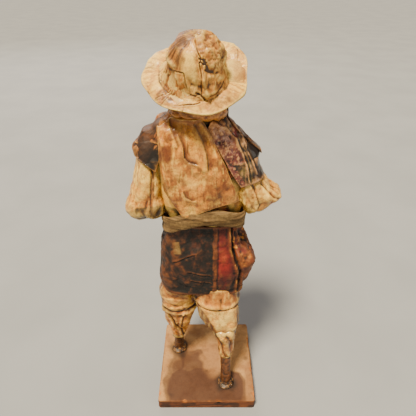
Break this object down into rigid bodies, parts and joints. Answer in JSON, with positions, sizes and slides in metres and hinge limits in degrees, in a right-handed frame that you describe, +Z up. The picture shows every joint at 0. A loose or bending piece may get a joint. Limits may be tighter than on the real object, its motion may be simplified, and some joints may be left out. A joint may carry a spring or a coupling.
{
  "type": "papier-mache figure",
  "caption": "Papier-mache peasant in a floppy hat, short breeches, sash and patchwork clothes, standing on a square wooden board.",
  "frame": {"origin": "middle of the wooden board's underside, which rests on the surface the figure stands on", "axes": "+Z up, -Y the way the figure faces, +X the figure's left"},
  "size_m": [0.1121, 0.09, 0.3206],
  "materials": {
    "board_wood": "worn mauve-brown paint over wood, chipped along the edges",
    "shin_paper": "dark brown lacquered paper wound over the shin",
    "ankle_glue": "hardened dark glue and twine",
    "gold_paper": "twisted golden lacquered paper",
    "cream_paper": "cream paper under amber varnish, semi-gloss",
    "patchwork_paper": "near-black and rust patchwork paper with a red panel, semi-gloss",
    "plum_paper": "purple-brown mottled paper with dark stripes, glossy lacquer",
    "umber_paper": "brown and grey streaked paper with a dark triangle, semi-gloss",
    "sash_cloth": "coarse grey-tan fibrous cloth, matt",
    "neck_paper": "twisted brown paper, semi-gloss",
    "skin_paper": "smooth tan paper pulp under varnish",
    "hat_paper": "pale stained paper with dark cracks, semi-matt"
  },
  "bodies": {
    "root": {"board": "board_wood", "left_shin": "shin_paper", "right_shin": "shin_paper", "left_ankle_ring": "ankle_glue", "right_ankle_ring": "ankle_glue", "right_shin_wrap": "gold_paper", "left_trouser_leg": "cream_paper", "right_trouser_leg": "cream_paper", "breeches": "patchwork_paper", "shirt": "patchwork_paper", "sash": "sash_cloth", "left_sleeve": "cream_paper", "right_sleeve": "cream_paper", "left_hand": "skin_paper", "right_hand": "skin_paper", "left_cape": "umber_paper", "right_cape": "plum_paper", "back_cloth": "cream_paper", "chest_cloth": "cream_paper", "neckerchief": "neck_paper", "head": "skin_paper", "hat": "hat_paper"}
  },
  "joints": []
}
